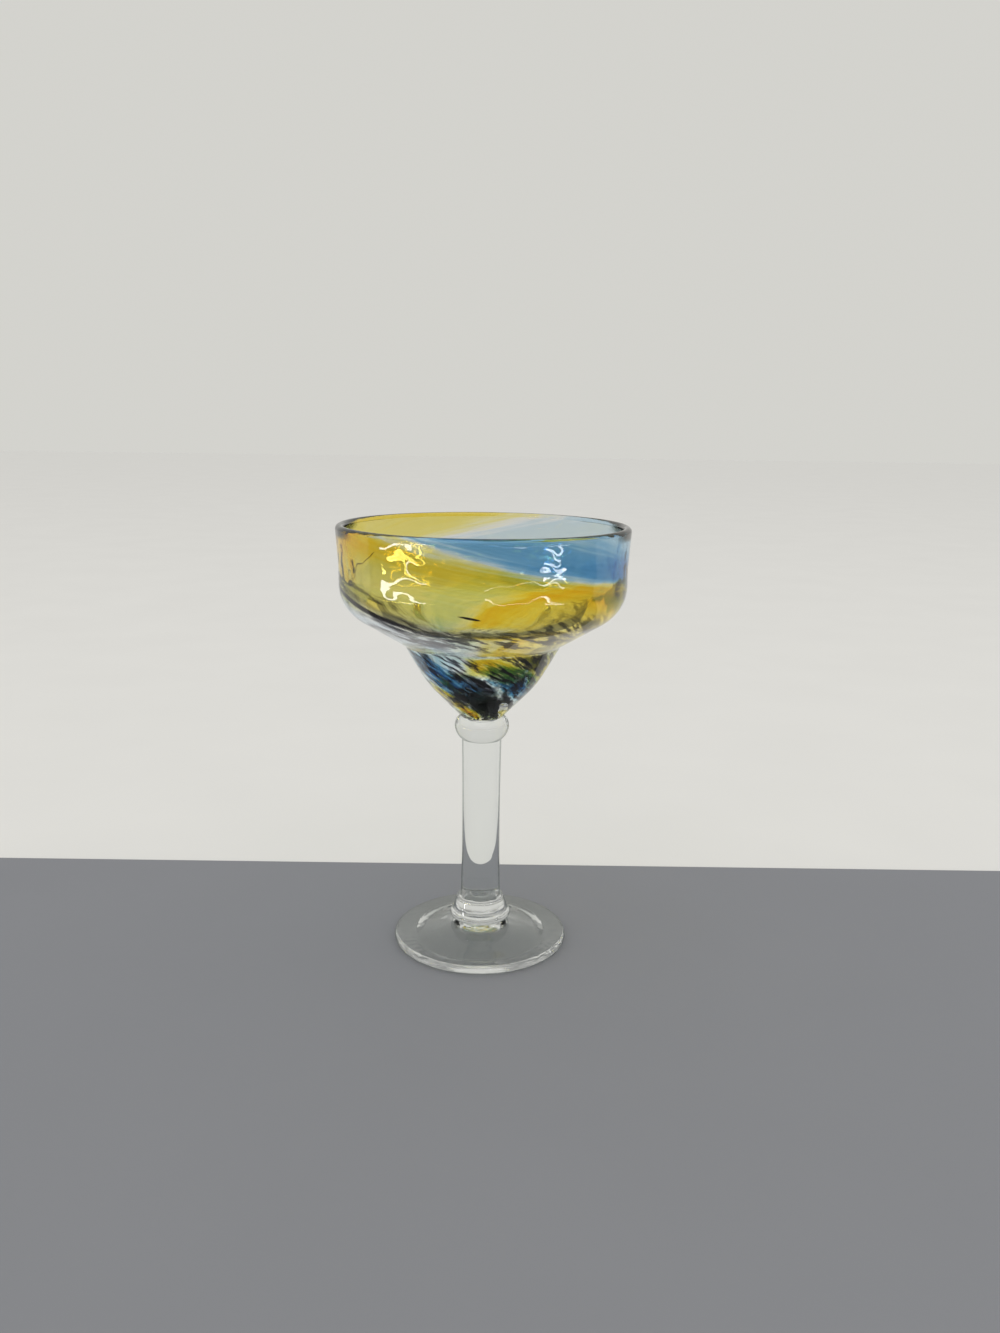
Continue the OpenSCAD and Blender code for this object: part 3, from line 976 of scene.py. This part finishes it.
def pass_light(tree, out, shader, shade):
    """Joins a glass shader to the output and lets lamp light through it, a little dimmed."""
    clear = put(tree, "ShaderNodeBsdfTransparent", Color=shade)
    light = put(tree, "ShaderNodeLightPath")
    mix_shaders(tree, out, light.outputs["Is Shadow Ray"], shader, clear)


def facing(tree):
    """How far a surface is seen edge-on."""
    return put(tree, "ShaderNodeLayerWeight", Blend=0.5).outputs["Facing"]


def glass_shader(tree, colour, waves, calm_z):
    """Clear glass of a colour, with the waves of hand work in its surface."""
    size, depth, seed = waves
    shader = put(tree, "ShaderNodeBsdfPrincipled", Roughness=0.0, IOR=GLASS_IOR, Transmission_Weight=1.0)
    height = use_group(tree, blown_surface, Wave_size=size, Seed=seed, Calm_below=calm_z * MM)
    bump = put(tree, "ShaderNodeBump", Strength=1.0, Distance=depth * MM, Height=height)
    tree.links.new(bump.outputs["Normal"], shader.inputs["Normal"])
    tree.links.new(colour, shader.inputs["Base Color"])
    return shader


def clear_glass(name, waves, calm_z=UNDER_ALL, painted_shade_z=UNDER_ALL, strength=1.0):
    """Clear soda glass, faintly grey-green, for the pieces without colour, with painted shade where it is
    seen edge-on, which also dims the lamp light let through there.
    """
    made, tree, out = material(name)
    tint = use_group(
        tree, painted_edge_shade, Colour=CLEAR, Facing=facing(tree),
        Above=painted_shade_z * MM, Strength=strength,
    )
    pass_light(tree, out, glass_shader(tree, tint, waves, calm_z), tint)
    return made


def casing_glass():
    """The clear casing, which takes on part of the colour that lies right under it, with a painted dark
    line along the lip where it is seen edge-on.
    """
    made, tree, out = material("clear_casing_glass")
    wound = use_group(tree, wound_colours, Share=CASING_SHARE * 2, Low_share=CASING_LOW_SHARE * 2)
    tint = use_group(
        tree, painted_edge_shade, Colour=wound, Facing=facing(tree),
        Above=LIP_PAINTED_SHADE_Z * MM, Strength=LIP_PAINTED_SHADE,
    )
    pass_light(tree, out, glass_shader(tree, tint, CASING_WAVES, CASING_CALM_Z), CASING_SHADOW)
    return made


def coloured_layer(name):
    """The colour between the clear skins, which bends no light but is deeper where it is seen edge-on."""
    made, tree, out = material(name)
    rest = (1 - CASING_SHARE) / 2
    low_rest = (1 - CASING_LOW_SHARE) / 2
    wound = use_group(tree, wound_colours, Share=rest, Low_share=low_rest)
    tint = use_group(tree, film_depth, Colour=wound, Facing=facing(tree))
    film = put(tree, "ShaderNodeBsdfTransparent", Color=tint)
    tree.links.new(film.outputs[0], out.inputs["Surface"])
    return made


def joint_finish():
    """Where two pieces are fused: the glass goes on, so nothing shows."""
    made, tree, out = material("fused_joint")
    tree.links.new(put(tree, "ShaderNodeBsdfTransparent").outputs[0], out.inputs["Surface"])
    return made


def plain_finish(name, colour):
    """A matt finish with a faint mottle, for the stage."""
    made, tree, out = material(name)
    tone = use_group(tree, mottle, Colour=(*colour, 1))
    shader = put(tree, "ShaderNodeBsdfPrincipled", Roughness=0.9, Specular_IOR_Level=0.0, Base_Color=tone)
    tree.links.new(shader.outputs[0], out.inputs["Surface"])
    return made


# Stage, lamps and camera

def lay_plane(name, colour, width, front, back, height):
    """A flat rectangle of the stage, in metres."""
    bpy.ops.object.select_all(action="DESELECT")
    bpy.ops.mesh.primitive_plane_add(size=1, location=(0, (back + front) / 2, height))
    plane = bpy.context.object
    plane.name = name
    plane.scale = (width, back - front, 1)
    bpy.ops.object.transform_apply(location=True, rotation=True, scale=True)
    plane.data.materials.append(plain_finish(name + "_finish", colour))


def make_stage():
    """A pale floor, and a grey board on it, under the glass."""
    lay_plane("floor", FLOOR, FLOOR_SIZE, -FLOOR_SIZE / 2, FLOOR_SIZE / 2, FLOOR_Z)
    lay_plane("board", BOARD, BOARD_WIDTH, BOARD_FRONT, BOARD_BACK, BOARD_Z)


def make_world():
    """Even soft light; the camera and the glass see the backdrop instead."""
    world = bpy.data.worlds.new("studio")
    bpy.context.scene.world = world
    world.use_nodes = True
    tree = world.node_tree
    tree.nodes.clear()
    out = tree.nodes.new("ShaderNodeOutputWorld")
    light = put(tree, "ShaderNodeLightPath").outputs
    seen = sum_up(tree, "MAXIMUM", light["Is Camera Ray"], light["Is Glossy Ray"])
    seen = sum_up(tree, "MAXIMUM", seen, light["Is Transmission Ray"])
    direction = put(tree, "ShaderNodeTexCoord").outputs["Generated"]
    away = put(tree, "ShaderNodeSeparateXYZ", Vector=direction).outputs["Y"]
    bright = sum_up(tree, "MAXIMUM", light["Is Camera Ray"], spread(tree, away, *BACKDROP_SEEN))
    soft = put(tree, "ShaderNodeBackground", Color=SOFT_LIGHT, Strength=1.0)
    shown = put(tree, "ShaderNodeBackground", Color=BACKDROP, Strength=bright)
    mix_shaders(tree, out, seen, soft, shown)


def add_lamp(name, middle, width, height, power):
    """A soft rectangular lamp, not aimed yet."""
    bpy.ops.object.select_all(action="DESELECT")
    bpy.ops.object.light_add(type="AREA", location=middle)
    lamp = bpy.context.object
    lamp.name = name
    lamp.data.shape = "RECTANGLE"
    lamp.data.size = width
    lamp.data.size_y = height
    lamp.data.energy = power
    lamp.visible_camera = False
    return lamp


def add_softbox():
    """The large lamp that lights everything softly from above."""
    lamp = add_lamp("top_softbox", SOFTBOX_AT, SOFTBOX_SIZE, SOFTBOX_SIZE, SOFTBOX_POWER)
    aim = Vector(SOFTBOX_AIM) - Vector(SOFTBOX_AT)
    lamp.rotation_euler = aim.to_track_quat("-Z", "Y").to_euler()


def strip_end(azimuth, height):
    """Place of a strip's end, in metres, at a height in millimetres."""
    angle = math.radians(azimuth)
    return Vector((STRIP_CIRCLE_R * math.cos(angle), STRIP_CIRCLE_R * math.sin(angle), height * MM))


def add_strip(name, start, end, thick, glow, hue):
    """A narrow lamp from one spot to another, which faces the bowl and shows only in the glass."""
    middle = (start + end) / 2
    along = (end - start).normalized()
    back = middle - BOWL_MIDDLE
    back = (back - along * back.dot(along)).normalized()
    length = (end - start).length
    power = glow * math.pi * length * thick
    lamp = add_lamp(name, middle, length, thick, power)
    lamp.rotation_euler = Matrix((along, back.cross(along), back)).transposed().to_euler()
    lamp.data.color = hue
    lamp.visible_diffuse = False


def make_lamps():
    """The softbox, and the strips that show as bright lines in the bowl."""
    add_softbox()
    for i, (azimuth, height, next_azimuth, next_height, thick, glow, hue) in enumerate(STRIPS):
        start = strip_end(azimuth, height)
        end = strip_end(next_azimuth, next_height)
        add_strip("strip_%d" % (i + 1), start, end, thick * MM, glow, hue)


def make_camera():
    """The camera, where it sees the glass as the photo shows it."""
    data = bpy.data.cameras.new("camera")
    data.sensor_fit = "HORIZONTAL"
    data.sensor_width = SENSOR_WIDTH
    data.lens = SENSOR_WIDTH * FOCAL_PIXELS / IMAGE_WIDTH
    data.clip_start = NEAREST_SEEN
    camera = bpy.data.objects.new("camera", data)
    bpy.context.scene.collection.objects.link(camera)
    pitch = Matrix.Rotation(math.radians(90 - CAMERA_PITCH), 4, "X")
    roll = Matrix.Rotation(math.radians(CAMERA_ROLL), 4, "Z")
    camera.matrix_world = Matrix.Translation(CAMERA_AT) @ pitch @ roll
    bpy.context.scene.camera = camera


scene = bpy.context.scene
scene.view_settings.view_transform = "Standard"
scene.cycles.max_bounces = 32
scene.cycles.glossy_bounces = 24
scene.cycles.transmission_bounces = 32
scene.cycles.transparent_max_bounces = 128
scene.cycles.caustics_refractive = True

fused_joint = joint_finish()
blown_surface = blown_surface_group()
painted_edge_shade = painted_edge_shade_group()
film_depth = film_depth_group()
mottle = mottle_group()
daub = daub_group()
wound_colours = wound_colours_group()
make_foot()
make_collar()
make_stem()
make_knop()
make_casing()
make_lining()
make_swirls()
make_stage()
make_world()
make_lamps()
make_camera()
